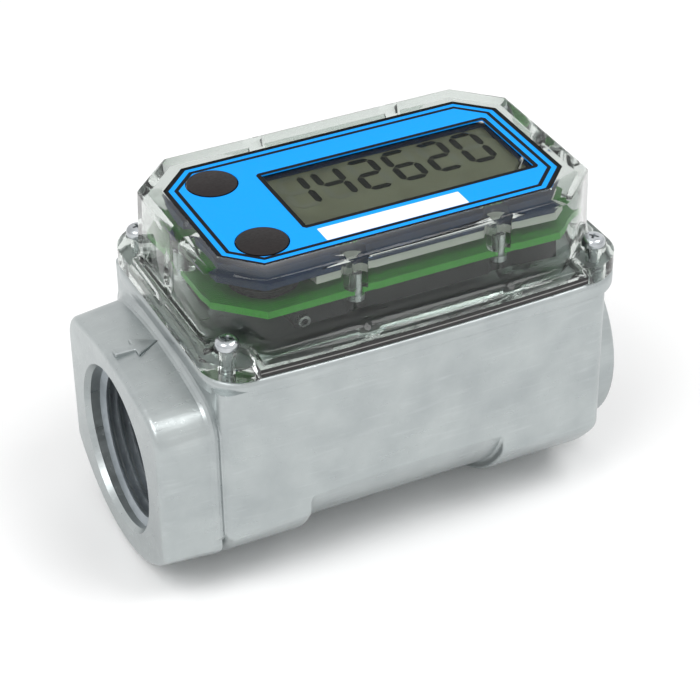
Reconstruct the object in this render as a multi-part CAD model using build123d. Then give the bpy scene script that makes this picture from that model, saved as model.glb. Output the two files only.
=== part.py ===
from build123d import *
import math
import os

# Turbine flow meter with two pipe ports and a clear case over the display.
# X runs along the pipe from the inlet to the outlet, Z is up, millimetres.
# The origin is on the surface that the meter stands on, halfway along it.

# Pipe body
overall_length = 101.6
inlet_boss_length = 11.7
outlet_boss_length = 6.8
axis_height = 23.05
foot_side_margin = 3.7
body_corner_half_width = 27.15
body_middle_half_width = 28.4
body_corner_radius = 2.8
body_floor_rounding = 3.0
body_floor_rounding_share = 0.85
recess_start = -21.4
recess_end = 20.6
recess_depth = 1.8
recess_edge_rounding = 0.6
inlet_boss_half_width = 23.6
inlet_boss_crown = 21.8
inlet_boss_shoulder = 18.4
inlet_boss_top_rounding = 7.0
inlet_boss_bottom_rounding = 3.0
boss_draft_angle = 4.2
boss_blend_radius = 1.6
boss_blend_steps = 4
boss_blend_floor = 1.6
boss_edge_rounding = 1.3
outlet_boss_radius = 20.8
outlet_edge_rounding = 0.8

# Rim and joint between the body and the clear case
joint_above_axis = 27.9
rim_thickness = 4.4
rim_side_overhang = 0.1
rim_inlet_overhang = 0.93
rim_outlet_overhang = 3.89
rim_corner_radius = 8.2
rim_top_rounding = 1.6
rim_under_rounding = 1.5

# Ports and flow passage
port_radius = 16.6
port_depth = 19.0
mouth_radius = 17.28
mouth_depth = 1.2
support_bore_radius = 13.5
chamber_radius = 12.2
chamber_half_length = 10.5
support_ring_length = 10.0
ring_groove_depth = 0.6
retaining_ring_thickness = 1.2
retaining_ring_width = 1.6
retaining_ring_gap_angle = 50.0

# Turbine
rotor_half_length = 8.0
rotor_hub_radius = 4.0
blade_count = 4
blade_thickness = 1.3
blade_twist = 62.0
blade_tip_clearance = 0.5
rotor_end_clearance = 0.6
shaft_radius = 1.0
shaft_running_clearance = 0.05
shaft_end_clearance = 0.6
bearing_radius = 2.5
bearing_length = 5.0
support_hub_radius = 4.0
support_nose_length = 6.5
vane_count = 4
vane_thickness = 1.3
magnet_radius = 1.2
magnet_length = 2.2

# Pickup coil
pocket_depth = 5.0
pocket_inset = 7.6
pocket_corner = 8.0
coil_wall = 3.6
coil_flange_radius = 6.5
coil_core_radius = 2.6
coil_height = 9.0
coil_flange_thickness = 1.0
coil_well_clearance = 0.6

# Seal and clear case
seal_height = 2.0
seal_width = 1.2
seal_side_inset = 0.25
seal_end_inset = 2.2
lug_length = 8.8
lug_width = 9.45
lug_rounding = 4.5
lug_boss_radius = 2.5
lug_boss_height = 1.2
flange_thickness = 1.9
flange_edge_chamfer = 0.4
ledge_end_width = 2.16
ledge_side_width = 1.85
wall_end_draft = 1.3
wall_side_draft = 0.5
wall_base_corner = 10.5
wall_top_corner = 8.65
wall_thickness = 1.9
wall_foot_rounding = 2.0
wall_top_rounding = 1.1
case_height = 19.0
label_below_rim = 0.4
top_plate_thickness = 1.4
groove_width = 5.4
groove_depth = 0.8
groove_bottom_above_joint = 5.1
screw_boss_radius = 2.5

# Face, with insets counted from the ends of the case and borders from the label's sides
label_end_border = 4.06
label_side_border = 5.09
label_chamfer_x = 6.45
label_chamfer_y = 6.7
label_thickness = 0.3
label_clearance = 0.15
window_inlet_inset = 26.78
window_outlet_inset = 12.3
window_side_border = 9.48

# Display and board, with insets counted from the ends of the case
bezel_lip = 0.4
bezel_overhang = 0.4
bezel_clearance = 0.35
holder_height = 1.8
holder_setback = 0.2
holder_inlet_inset = 23.98
holder_outlet_inset = 9.76
holder_corner = 3.4
holder_leg_radius = 1.1
holder_leg_inset = 5.0
glass_thickness = 2.4
glass_margin = 1.2
board_below_rim = 8.6
board_thickness = 1.6
board_end_gap = 1.5
board_side_gap = 1.6
board_chamfer_x = 7.8
board_chamfer_y = 7.8
chip_size = 9.0
chip_thickness = 1.4
connector_length = 8.0
connector_width = 4.2
connector_height = 1.7
connector_wall = 1.0
connector_offset = 14.4
crystal_length = 5.1
crystal_radius = 0.75
capacitor_size = (2.0, 1.25, 0.9)
capacitor_pitch = 3.6
capacitor_count = 5

# Battery box under the board, a little to the outlet side of the case's middle
battery_shift = 2.17
battery_side_gap = 2.0
battery_height = 5.0
battery_slant = 2.4
battery_end_wall = 3.0
cell_radius = 12.25
cell_thickness = 3.2
cell_clearance = 0.2
cell_edge_rounding = 0.4
cell_pitch = 26.3
contact_radius = 1.2
contact_length = 1.2
contact_wall = 0.5
contact_height = 1.6

# Push buttons
button_inlet_inset = 17.09
button_side_border = 8.0
button_radius = 4.93
button_proud = 0.1
button_dome = 0.25
button_travel = 0.8
button_side_clearance = 0.25
button_flange_radius = 6.3
button_flange_thickness = 0.8
button_flange_clearance = 0.3
button_stem_radius = 2.2
boot_radius = 6.5
boot_inner_radius = 4.6
boot_pleat_depth = 0.9
boot_pleats = 4
switch_size = 5.8
switch_body_height = 2.9
switch_plunger_radius = 1.6
switch_plunger_height = 0.6
press_margin = 0.1

# Screws
cover_screw_inset_x = 4.98
cover_screw_inset_y = 5.31
cover_screw_radius = 1.25
cover_screw_head_radius = 2.35
cover_screw_head_height = 1.8
cover_screw_head_rounding = 1.2
cover_screw_depth = 3.8
board_screw_edge_inset = 0.7
board_screw_radius = 1.0
board_screw_head_radius = 1.7
board_screw_head_height = 1.2
board_screw_bite = 3.0
board_screw_inlet_inset = 31.53
board_screw_outlet_inset = 26.09
screw_side_clearance = 0.05
lug_hole_clearance = 0.2
fit_clearance = 0.03
plane_tolerance = 0.01

# Worked out from the sizes above
inlet_end = -overall_length / 2
outlet_end = overall_length / 2
block_start = inlet_end + inlet_boss_length
block_end = outlet_end - outlet_boss_length
block_length = block_end - block_start
block_centre = (block_start + block_end) / 2
foot_radius = body_middle_half_width + foot_side_margin
foot_centre_height = foot_radius
joint_height = axis_height + joint_above_axis
rim_bottom = joint_height - rim_thickness
rim_corner_half_width = body_corner_half_width + rim_side_overhang
rim_middle_half_width = body_middle_half_width + rim_side_overhang
case_start = block_start - rim_inlet_overhang
case_end = block_end + rim_outlet_overhang
case_length = case_end - case_start
case_centre = (case_start + case_end) / 2
seal_top = joint_height + seal_height
flange_top = seal_top + flange_thickness
lug_boss_top = flange_top + lug_boss_height
rim_top = joint_height + case_height
wall_base_half_length = case_length / 2 - ledge_end_width
wall_base_half_width = min(rim_corner_half_width, rim_middle_half_width) - ledge_side_width
wall_top_half_length = wall_base_half_length - wall_end_draft
wall_top_half_width = wall_base_half_width - wall_side_draft
pocket_half_length = wall_base_half_length - pocket_inset
pocket_half_width = wall_base_half_width - pocket_inset
label_half_length = wall_top_half_length - label_end_border
label_half_width = wall_top_half_width - label_side_border
label_top = rim_top - label_below_rim
label_bottom = label_top - label_thickness
plate_bottom = label_bottom - top_plate_thickness
glass_top = plate_bottom - bezel_lip
bezel_bottom = glass_top - glass_thickness
holder_bottom = bezel_bottom - holder_height
board_top = rim_top - board_below_rim
board_bottom = board_top - board_thickness
board_half_length = wall_base_half_length - wall_thickness - board_end_gap
board_half_width = wall_base_half_width - wall_thickness - board_side_gap
battery_half_width = board_half_width - battery_side_gap
battery_half_length = cell_pitch / 2 + cell_radius + cell_clearance + battery_end_wall
battery_middle = case_centre + battery_shift
battery_start = battery_middle - battery_half_length
battery_end = battery_middle + battery_half_length
battery_bottom = board_bottom - battery_height
cell_places = (battery_middle - cell_pitch / 2, battery_middle + cell_pitch / 2)
pocket_floor = joint_height - pocket_depth
coil_well_floor = axis_height + chamber_radius + coil_wall
coil_well_radius = coil_flange_radius + coil_well_clearance
support_end = chamber_half_length + support_ring_length
hub_inner_face = rotor_half_length + rotor_end_clearance
window_start = case_start + window_inlet_inset
window_end = case_end - window_outlet_inset
window_centre = (window_start + window_end) / 2
window_length = window_end - window_start
window_half_width = label_half_width - window_side_border
holder_start = case_start + holder_inlet_inset
holder_end = case_end - holder_outlet_inset
holder_half_width = label_half_width + bezel_overhang - holder_setback
button_hole_radius = button_radius + button_side_clearance
button_flange_top = plate_bottom - button_flange_clearance
button_seal_top = button_flange_top - button_flange_thickness
switch_top = board_top + switch_body_height + switch_plunger_height
stem_bottom = switch_top + button_travel + press_margin
# A corner cut at 45 degrees gets this much shorter along each leg per unit of inset.
corner_leg_share = 2 - math.sqrt(2)
groove_radius = (groove_width**2 / 4 + groove_depth**2) / (2 * groove_depth)
board_screw_side_y = board_half_width - board_screw_edge_inset
board_screw_end_x = board_half_length - board_screw_edge_inset
cover_screw_y = rim_corner_half_width - cover_screw_inset_y
button_x = case_start + button_inlet_inset
button_y = label_half_width - button_side_border

cover_screw_places = [
    (x, side * cover_screw_y)
    for x in (case_start + cover_screw_inset_x, case_end - cover_screw_inset_x)
    for side in (-1, 1)
]
side_screw_places = [
    (x, side * board_screw_side_y)
    for x in (case_start + board_screw_inlet_inset, case_end - board_screw_outlet_inset)
    for side in (-1, 1)
]
end_screw_places = [
    (case_centre - board_screw_end_x, 0),
    (case_centre + board_screw_end_x, 0),
]
board_screw_places = side_screw_places + end_screw_places
button_places = {"upper": (button_x, button_y), "lower": (button_x, -button_y)}


def save(node, shape):
    """Write one piece under its own name."""
    shape.label = node
    export_step(shape, f"parts/{node}.step")


def upright(radius, bottom, top, place=(0, 0)):
    """A round bar standing at a place in plan, between two heights."""
    middle = Pos(place[0], place[1], (bottom + top) / 2)
    return middle * Cylinder(radius, top - bottom)


def along_pipe(radius, start, end):
    """A round bar on the pipe axis between two stations."""
    turned = Pos((start + end) / 2, 0, axis_height) * Rot(0, 90, 0)
    return turned * Cylinder(radius, end - start)


def slab(outline, bottom, top):
    """A plan outline raised between two heights."""
    return extrude(Pos(0, 0, bottom) * outline, top - bottom)


def block(start, end, half_width, bottom, top):
    """A plain box, centred across the pipe."""
    middle = Pos((start + end) / 2, 0, (bottom + top) / 2)
    return middle * Box(end - start, 2 * half_width, top - bottom)


def bowed_outline(length, corner_half_width, middle_half_width, corner_radius):
    """Oblong in plan whose long sides bow outwards, with round corners."""
    half = length / 2
    corners = [
        (half, corner_half_width),
        (-half, corner_half_width),
        (-half, -corner_half_width),
        (half, -corner_half_width),
    ]
    edges = [
        ThreePointArc(corners[0], (0, middle_half_width), corners[1]),
        Line(corners[1], corners[2]),
        ThreePointArc(corners[2], (0, -middle_half_width), corners[3]),
        Line(corners[3], corners[0]),
    ]
    outline = make_face(edges)
    return fillet(outline.vertices(), corner_radius)


def chamfered_points(half_length, half_width, chamfer_x, chamfer_y):
    """Corners of an oblong in plan with its four corners cut off."""
    quarter = [
        (half_length, half_width - chamfer_y),
        (half_length - chamfer_x, half_width),
    ]
    half = quarter + [(-x, y) for x, y in reversed(quarter)]
    return half + [(-x, -y) for x, y in half]


def chamfered_outline(half_length, half_width, chamfer_x, chamfer_y):
    """Oblong in plan with its four corners cut off."""
    points = chamfered_points(half_length, half_width, chamfer_x, chamfer_y)
    return make_face(Polyline(*points, close=True))


def on_case(shape):
    """Moves a shape along the pipe from the model's middle to the case's middle."""
    return Pos(case_centre, 0, 0) * shape


def rim_outline(side_inset=0.0, end_inset=0.0):
    """Plan of the metal rim, or the same outline set in at its sides and ends."""
    outline = bowed_outline(
        case_length - 2 * end_inset,
        rim_corner_half_width - side_inset,
        rim_middle_half_width - side_inset,
        rim_corner_radius,
    )
    return on_case(outline)


def lug_areas(clearance=0.0):
    """Plan of the four corner areas round the cover screws, with a round inner corner."""
    area = RectangleRounded(
        2 * (lug_length + clearance), 2 * (lug_width + clearance), lug_rounding
    )
    areas = Sketch()
    for end in (-1, 1):
        for side in (-1, 1):
            areas += Pos(end * case_length / 2, side * rim_corner_half_width) * area
    return on_case(areas)


def wall_share(height):
    """How far up the case wall a height lies, 0 at its base and 1 at its top."""
    return (height - seal_top) / (rim_top - seal_top)


def wall_points(height, inset=0.0):
    """Corners of the case wall at a height, or of a wall set in from it."""
    share = wall_share(height)
    half_length = wall_base_half_length + share * (wall_top_half_length - wall_base_half_length)
    half_width = wall_base_half_width + share * (wall_top_half_width - wall_base_half_width)
    corner = wall_base_corner + share * (wall_top_corner - wall_base_corner)
    corner -= inset * corner_leg_share
    points = chamfered_points(half_length - inset, half_width - inset, corner, corner)
    return [(case_centre + x, y) for x, y in points]


def wall_solid(bottom, top, inset=0.0):
    """The drafted form of the case between two heights, with flat sides."""
    lower = [(x, y, bottom) for x, y in wall_points(bottom, inset)]
    upper = [(x, y, top) for x, y in wall_points(top, inset)]
    loops = [lower, upper]
    for index in range(len(lower)):
        after = (index + 1) % len(lower)
        loops.append([lower[index], lower[after], upper[after], upper[index]])
    faces = [Face(Wire.make_polygon(loop, close=True)) for loop in loops]
    return Part() + Solid(Shell(faces))


# The body

def arched_bar(radius, start, end):
    """A long bar with a round floor, the form of the body's underside."""
    bar_top = joint_height + foot_radius
    floor_arc = Pos(0, foot_centre_height) * Circle(radius)
    walls = Pos(0, (foot_centre_height + bar_top) / 2) * Rectangle(
        2 * radius, bar_top - foot_centre_height
    )
    return extrude(Plane.YZ.offset(start) * (floor_arc + walls), end - start)


def inlet_section(station, flare=0.0):
    """Section of the inlet boss, which widens from its mouth by the draft and a flare."""
    growth = (station - inlet_end) * math.tan(math.radians(boss_draft_angle)) + flare
    half_width = inlet_boss_half_width + growth
    floor_radius = foot_radius - inlet_boss_length * math.tan(math.radians(boss_draft_angle)) + growth
    side_bottom = foot_centre_height - math.sqrt(floor_radius**2 - half_width**2)
    shoulder = axis_height + inlet_boss_shoulder + growth
    crown = axis_height + inlet_boss_crown + growth
    floor_point = (0, foot_centre_height - floor_radius)
    edges = [
        ThreePointArc((-half_width, side_bottom), floor_point, (half_width, side_bottom)),
        Line((half_width, side_bottom), (half_width, shoulder)),
        ThreePointArc((half_width, shoulder), (0, crown), (-half_width, shoulder)),
        Line((-half_width, shoulder), (-half_width, side_bottom)),
    ]
    outline = make_face(edges)
    lower = outline.vertices().filter_by(lambda corner: corner.Y < axis_height)
    outline = fillet(lower, inlet_boss_bottom_rounding)
    upper = outline.vertices().group_by(Axis.Y)[-1]
    outline = fillet(upper, inlet_boss_top_rounding)
    return Plane.YZ.offset(station) * outline


def inlet_boss():
    """Drafted boss with flat sides that flares into the end wall of the body."""
    blend_start = block_start - boss_blend_radius
    straight = loft([inlet_section(inlet_end), inlet_section(block_start)], ruled=True)
    straight = fillet(straight.faces().sort_by(Axis.X)[0].edges(), boss_edge_rounding)
    flare_sections = []
    for step in range(boss_blend_steps + 1):
        turn = math.radians(90 * step / boss_blend_steps)
        station = blend_start + boss_blend_radius * math.sin(turn)
        flare_sections.append(inlet_section(station, boss_blend_radius * (1 - math.cos(turn))))
    flare = loft(flare_sections, ruled=True) + extrude(flare_sections[-1], boss_blend_radius)
    flare &= arched_bar(foot_radius - boss_blend_floor, inlet_end, block_end)
    return straight + flare


def edges_at(shape, axis, position):
    """Edges of a shape whose middle lies on a plane across an axis."""
    return shape.edges().filter_by_position(
        axis, position - plane_tolerance, position + plane_tolerance
    )


def body_form():
    """The cast body before any hole is cut in it."""
    plan = Pos(block_centre, 0, 0) * bowed_outline(
        block_length, body_corner_half_width, body_middle_half_width, body_corner_radius
    )
    trunk = slab(plan, 0, joint_height) & arched_bar(foot_radius, block_start, block_end)
    underside = trunk.edges().filter_by(lambda edge: edge.bounding_box().max.Z < axis_height)
    side_room = foot_radius - max(body_corner_half_width, body_middle_half_width)
    rounding_room = side_room * body_floor_rounding_share
    floor_rounding = min(body_floor_rounding, rounding_room)
    trunk = fillet(underside, floor_rounding)
    recess = block(recess_start, recess_end, 2 * foot_radius, -recess_depth, foot_centre_height)
    recess -= arched_bar(foot_radius - recess_depth, recess_start, recess_end)
    trunk -= recess
    recess_steps = edges_at(trunk, Axis.X, recess_start) + edges_at(trunk, Axis.X, recess_end)
    trunk = fillet(recess_steps, min(recess_edge_rounding, floor_rounding / 2))
    outlet_boss = along_pipe(outlet_boss_radius, block_end - boss_blend_radius, outlet_end)
    outlet_boss = fillet(outlet_boss.edges().sort_by(Axis.X)[-1], outlet_edge_rounding)
    return trunk + inlet_boss() + outlet_boss


def flow_passage():
    """Everything that is bored out along the pipe."""
    passage = along_pipe(chamber_radius, inlet_end, outlet_end)
    for side in (-1, 1):
        bore = along_pipe(support_bore_radius, chamber_half_length, outlet_end)
        port = along_pipe(port_radius, outlet_end - port_depth, outlet_end)
        mouth = Pos(outlet_end - mouth_depth / 2, 0, axis_height) * Rot(0, 90, 0) * Cone(
            port_radius, mouth_radius, mouth_depth
        )
        groove = along_pipe(
            support_bore_radius + ring_groove_depth,
            support_end,
            support_end + retaining_ring_thickness,
        )
        half = bore + port + mouth + groove
        passage += half if side > 0 else mirror(half, Plane.YZ)
    return passage


def meter_housing():
    """Cast body with rim, ports, flow passage, coil pocket and screw holes."""
    rim = slab(rim_outline(), rim_bottom, joint_height)
    rim = fillet(rim.faces().sort_by(Axis.Z)[-1].edges(), rim_top_rounding)
    rim = fillet(rim.faces().sort_by(Axis.Z)[0].edges(), rim_under_rounding)
    trunk_top = joint_height - rim_thickness / 2
    body = (body_form() & block(inlet_end, outlet_end, foot_radius, 0, trunk_top)) + rim
    body -= flow_passage()
    pocket = chamfered_outline(pocket_half_length, pocket_half_width, pocket_corner, pocket_corner)
    body -= slab(on_case(pocket), pocket_floor, joint_height)
    body -= upright(coil_well_radius, coil_well_floor, pocket_floor)
    for place in cover_screw_places:
        hole_radius = cover_screw_radius + screw_side_clearance
        hole_bottom = joint_height - cover_screw_depth - screw_side_clearance
        body -= upright(hole_radius, hole_bottom, joint_height, place)
    return body


# The seal and the clear case

def seal_line(inset=0.0):
    """Plan inside the seal's outer edge, which steps inwards round the corner lugs."""
    around = seal_side_inset + inset
    return rim_outline(around, seal_end_inset + inset) - lug_areas(around)


def cover_seal():
    """Narrow band between the case and the rim, kept inside the corner lugs."""
    return slab(seal_line() - seal_line(seal_width), joint_height, seal_top)


def seal_channel():
    """Plan of the channel for the seal, open outwards along the two long sides."""
    span = Rectangle(case_length - 2 * (lug_length + seal_side_inset), 2 * foot_radius)
    return seal_line() + (rim_outline() & on_case(span)) - seal_line(seal_width)


def screw_groove(place, outward):
    """A shallow upright flute in the outside of the case wall, with round ends."""
    bottom = joint_height + groove_bottom_above_joint + groove_width / 2
    top = plate_bottom
    centre = (place[0] + outward[0] * groove_radius, place[1] + outward[1] * groove_radius)
    flute = upright(groove_radius, bottom, top, centre)
    for height in (bottom, top):
        flute += Pos(centre[0], centre[1], height) * Sphere(groove_radius)
    return flute


def clear_cover():
    """Moulded clear case: flange, lugs, drafted wall, top with label bed and bosses."""
    flange = slab(rim_outline(), joint_height, flange_top)
    flange = chamfer(flange.faces().sort_by(Axis.Z)[-1].edges(), flange_edge_chamfer)
    wall = wall_solid(flange_top, rim_top)
    wall = fillet(wall.faces().sort_by(Axis.Z)[-1].edges(), wall_top_rounding)
    shell = flange + wall
    foot = edges_at(shell, Axis.Z, flange_top).filter_by(GeomType.LINE).filter_by(
        lambda edge: abs(edge.center().X - case_centre) < wall_base_half_length
    )
    shell = fillet(foot, wall_foot_rounding)
    shell -= slab(seal_channel(), joint_height, seal_top)
    shell -= wall_solid(joint_height, plate_bottom, wall_thickness)
    label_bed = chamfered_outline(
        label_half_length + label_clearance,
        label_half_width + label_clearance,
        label_chamfer_x,
        label_chamfer_y,
    )
    shell -= slab(on_case(label_bed), label_bottom, rim_top)
    cavity = wall_solid(joint_height, plate_bottom, wall_thickness / 2)
    for place in board_screw_places:
        boss = upright(screw_boss_radius, board_top, plate_bottom, place)
        shell += boss & cavity
        pilot_top = board_top + board_screw_bite + screw_side_clearance
        shell -= upright(board_screw_radius + fit_clearance, board_top, pilot_top, place)
    wall_middle = wall_share((plate_bottom + joint_height) / 2)
    groove_y = wall_base_half_width + wall_middle * (wall_top_half_width - wall_base_half_width)
    groove_x = wall_base_half_length + wall_middle * (wall_top_half_length - wall_base_half_length)
    for x, y in side_screw_places:
        side = math.copysign(1, y)
        shell -= screw_groove((x, side * (groove_y - groove_depth)), (0, side))
    for end in (-1, 1):
        shell -= screw_groove((case_centre + end * (groove_x - groove_depth), 0), (end, 0))
    for place in cover_screw_places:
        shell += upright(lug_boss_radius, flange_top, lug_boss_top, place)
        hole_radius = cover_screw_radius + lug_hole_clearance
        shell -= upright(hole_radius, joint_height, lug_boss_top, place)
        seat_radius = cover_screw_head_radius + lug_hole_clearance
        shell -= upright(seat_radius, lug_boss_top, lug_boss_top + cover_screw_head_height, place)
    for place in button_places.values():
        shell -= upright(button_hole_radius, plate_bottom, label_bottom, place)
    return shell


def cover_screw(place):
    """Pan head screw through a corner lug into the rim."""
    bottom = joint_height - cover_screw_depth
    head_top = lug_boss_top + cover_screw_head_height
    head = upright(cover_screw_head_radius, lug_boss_top, head_top, place)
    head = fillet(head.edges().sort_by(Axis.Z)[-1], cover_screw_head_rounding)
    return upright(cover_screw_radius, bottom, lug_boss_top, place) + head


# The face

def face_label():
    """Label sheet in the bed of the case, open over the display and the buttons."""
    outline = chamfered_outline(label_half_length, label_half_width, label_chamfer_x, label_chamfer_y)
    window = Pos(window_centre, 0) * Rectangle(window_length, 2 * window_half_width)
    sheet = slab(on_case(outline) - window, label_bottom, label_top)
    for place in button_places.values():
        sheet -= upright(button_hole_radius, label_bottom, label_top, place)
    return sheet


def button_body(place):
    """Round button with a low dome, a flange under the case top and a stem."""
    proud_top = label_top + button_proud
    cap = upright(button_radius, button_flange_top, proud_top, place)
    dome_radius = (button_radius**2 + button_dome**2) / (2 * button_dome)
    dome = Pos(place[0], place[1], proud_top + button_dome - dome_radius) * Sphere(dome_radius)
    dome &= upright(button_radius, proud_top, proud_top + button_dome, place)
    flange = upright(button_flange_radius, button_seal_top, button_flange_top, place)
    stem = upright(button_stem_radius, stem_bottom, button_seal_top, place)
    return cap + dome + flange + stem


def pleated_boot(place):
    """Rubber boot with round pleats between the board and the button flange."""
    pitch = (button_seal_top - board_top) / boot_pleats
    points = [(boot_inner_radius, board_top), (boot_radius - boot_pleat_depth, board_top)]
    for pleat in range(boot_pleats):
        foot = board_top + pleat * pitch
        points.append((boot_radius, foot + pitch / 2))
        points.append((boot_radius - boot_pleat_depth, foot + pitch))
    points.append((boot_inner_radius, button_seal_top))
    profile = make_face(Polyline(*points, close=True))
    ring = revolve(Plane.XZ * profile, Axis.Z)
    return Pos(place[0], place[1], 0) * ring


def button_switch(place):
    """Small square switch on the board with a round plunger."""
    body_top = board_top + switch_body_height
    body = Pos(place[0], place[1], (board_top + body_top) / 2) * Box(
        switch_size, switch_size, switch_body_height
    )
    return body + upright(switch_plunger_radius, body_top, switch_top, place)


# Display, board and battery box

def glass_outline(clearance=0.0):
    """Plan of the display glass, or of the seat that it fits in."""
    around = glass_margin + clearance
    outline = Rectangle(window_length + 2 * around, 2 * (window_half_width + around))
    return Pos(window_centre, 0) * outline


def display_bezel():
    """Dark frame under the label, open over the display and round the boots."""
    outline = chamfered_outline(
        label_half_length + bezel_overhang,
        label_half_width + bezel_overhang,
        label_chamfer_x,
        label_chamfer_y,
    )
    window = Pos(window_centre, 0) * Rectangle(window_length, 2 * window_half_width)
    frame = slab(on_case(outline) - window, bezel_bottom, plate_bottom)
    frame -= slab(glass_outline(fit_clearance), bezel_bottom, glass_top)
    for place in board_screw_places:
        frame -= upright(screw_boss_radius + bezel_clearance, bezel_bottom, plate_bottom, place)
    for place in button_places.values():
        frame -= upright(boot_radius + bezel_clearance, bezel_bottom, plate_bottom, place)
    return frame


def lcd_glass():
    """Display glass in the frame, behind the window."""
    return slab(glass_outline(), bezel_bottom, glass_top)


def lcd_holder():
    """White frame under the glass, on four short legs that stand on the board."""
    middle = (holder_start + holder_end) / 2
    outline = Pos(middle, 0) * Rectangle(holder_end - holder_start, 2 * holder_half_width)
    outline = chamfer(outline.vertices().group_by(Axis.X)[-1], holder_corner)
    ledge = Pos(window_centre, 0) * Rectangle(window_length - 2 * glass_margin, 2 * window_half_width)
    holder = slab(outline - ledge, holder_bottom, bezel_bottom)
    for place in board_screw_places:
        holder -= upright(screw_boss_radius + bezel_clearance, holder_bottom, bezel_bottom, place)
    leg_reach = (holder_end - holder_start) / 2 - 2 * holder_leg_radius
    for end in (-1, 1):
        for side in (-1, 1):
            place = (middle + end * leg_reach, side * (holder_half_width - holder_leg_inset))
            holder += upright(holder_leg_radius, board_top, holder_bottom, place)
    return holder


def board_outline():
    """Plan of the board, cut back at its corners."""
    return on_case(
        chamfered_outline(board_half_length, board_half_width, board_chamfer_x, board_chamfer_y)
    )


def circuit_board():
    """Green board, notched for the screws at its edge."""
    board = slab(board_outline(), board_bottom, board_top)
    for place in board_screw_places:
        notch = board_screw_radius + lug_hole_clearance
        board -= upright(notch, board_bottom, board_top, place)
    return board


def board_screw(place):
    """Small screw from under the board up into a hanging boss."""
    head_bottom = board_bottom - board_screw_head_height
    head = upright(board_screw_head_radius, head_bottom, board_bottom, place)
    return upright(board_screw_radius, board_bottom, board_top + board_screw_bite, place) + head


def controller_chip():
    """Flat square chip under the display."""
    return Pos(window_centre, 0, board_top + chip_thickness / 2) * Box(
        chip_size, chip_size, chip_thickness
    )


def crystal_can():
    """Small metal can lying on the board."""
    can = Rot(0, 90, 0) * Cylinder(crystal_radius, crystal_length)
    return Pos(window_centre, -chip_size, board_top + crystal_radius) * can


def board_capacitors():
    """Row of small capacitors near the front edge of the board."""
    row = Part()
    first = button_x + boot_radius + capacitor_pitch / 2
    for index in range(capacitor_count):
        x = first + index * capacitor_pitch
        row += Pos(x, -chip_size, board_top + capacitor_size[2] / 2) * Box(*capacitor_size)
    return row


def board_connector():
    """Low connector for the coil wires, with a slot along its top."""
    place = Pos(window_centre + connector_offset, 0, board_top + connector_height / 2)
    slot = Pos(0, 0, connector_height / 2) * Box(
        connector_length - 2 * connector_wall, connector_width - 2 * connector_wall, connector_height
    )
    return place * (Box(connector_length, connector_width, connector_height) - slot)


def battery_holder():
    """Black box under the board with two round cell pockets open below."""
    corners = [
        (battery_start + battery_slant, battery_bottom),
        (battery_end, battery_bottom),
        (battery_end, board_bottom),
        (battery_start, board_bottom),
    ]
    side_view = make_face(Polyline(*corners, close=True))
    holder = extrude(Plane.XZ * side_view, battery_half_width, both=True)
    holder &= slab(board_outline(), battery_bottom, board_bottom)
    for x in cell_places:
        pocket_top = battery_bottom + cell_thickness + cell_clearance
        holder -= upright(cell_radius + cell_clearance, battery_bottom, pocket_top, (x, 0))
    for place in board_screw_places:
        around = board_screw_head_radius + lug_hole_clearance
        holder -= upright(around, battery_bottom, board_bottom, place)
    return holder


def battery_cell(x):
    """Coin cell held against the roof of its pocket."""
    bottom = battery_bottom + cell_clearance
    cell = upright(cell_radius, bottom, bottom + cell_thickness, (x, 0))
    return fillet(cell.edges().sort_by(Axis.Z)[0], cell_edge_rounding)


def battery_contact():
    """Bright ring on the front of the battery box near its slanted end."""
    length_middle = -battery_half_width - contact_length / 2
    turned = Rot(90, 0, 0)
    ring = Cylinder(contact_radius, contact_length) - Cylinder(
        contact_radius - contact_wall, contact_length
    )
    x = battery_start + battery_slant + contact_radius
    return Pos(x, length_middle, battery_bottom + contact_height) * turned * ring


# The pickup coil

def coil_bobbin():
    """Plastic spool standing in its well over the turbine."""
    top = coil_well_floor + coil_height
    spool = upright(coil_core_radius, coil_well_floor, top)
    spool += upright(coil_flange_radius, coil_well_floor, coil_well_floor + coil_flange_thickness)
    spool += upright(coil_flange_radius, top - coil_flange_thickness, top)
    return spool


def coil_winding():
    """Copper winding between the flanges of the spool."""
    bottom = coil_well_floor + coil_flange_thickness
    top = coil_well_floor + coil_height - coil_flange_thickness
    outer = upright(coil_flange_radius - coil_flange_thickness, bottom, top)
    return outer - upright(coil_core_radius + fit_clearance, bottom, top)


# The turbine and its supports, drawn for the outlet side and mirrored

def vane_support():
    """Ring and hub joined by straight vanes, with a rounded nose downstream."""
    ring = along_pipe(support_bore_radius - fit_clearance, chamber_half_length, support_end)
    ring -= along_pipe(chamber_radius, chamber_half_length, support_end)
    hub = along_pipe(support_hub_radius, hub_inner_face, support_end)
    nose = Pos(support_end, 0, axis_height) * Sphere(support_hub_radius)
    nose = scale(Pos(-support_end, 0, -axis_height) * nose, (support_nose_length / support_hub_radius, 1, 1))
    nose = Pos(support_end, 0, axis_height) * nose
    nose &= along_pipe(support_hub_radius, support_end, support_end + support_nose_length)
    vane_middle = (chamber_half_length + support_end) / 2
    vane_reach = chamber_radius + fit_clearance
    vanes = Part()
    for index in range(vane_count):
        vane = Pos(0, 0, vane_reach / 2) * Box(support_ring_length, vane_thickness, vane_reach)
        turn = (index + 0.5) * 360 / vane_count
        vanes += Pos(vane_middle, 0, axis_height) * Rot(turn, 0, 0) * vane
    support = ring + hub + nose + vanes
    pocket_end = hub_inner_face + bearing_length
    support -= along_pipe(bearing_radius + fit_clearance, hub_inner_face, pocket_end)
    return support


def support_bearing():
    """Bush in the hub, open at the turbine's side."""
    bush = along_pipe(bearing_radius, hub_inner_face, hub_inner_face + bearing_length)
    bore_radius = shaft_radius + shaft_running_clearance
    return bush - along_pipe(bore_radius, hub_inner_face, hub_inner_face + bearing_length)


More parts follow.
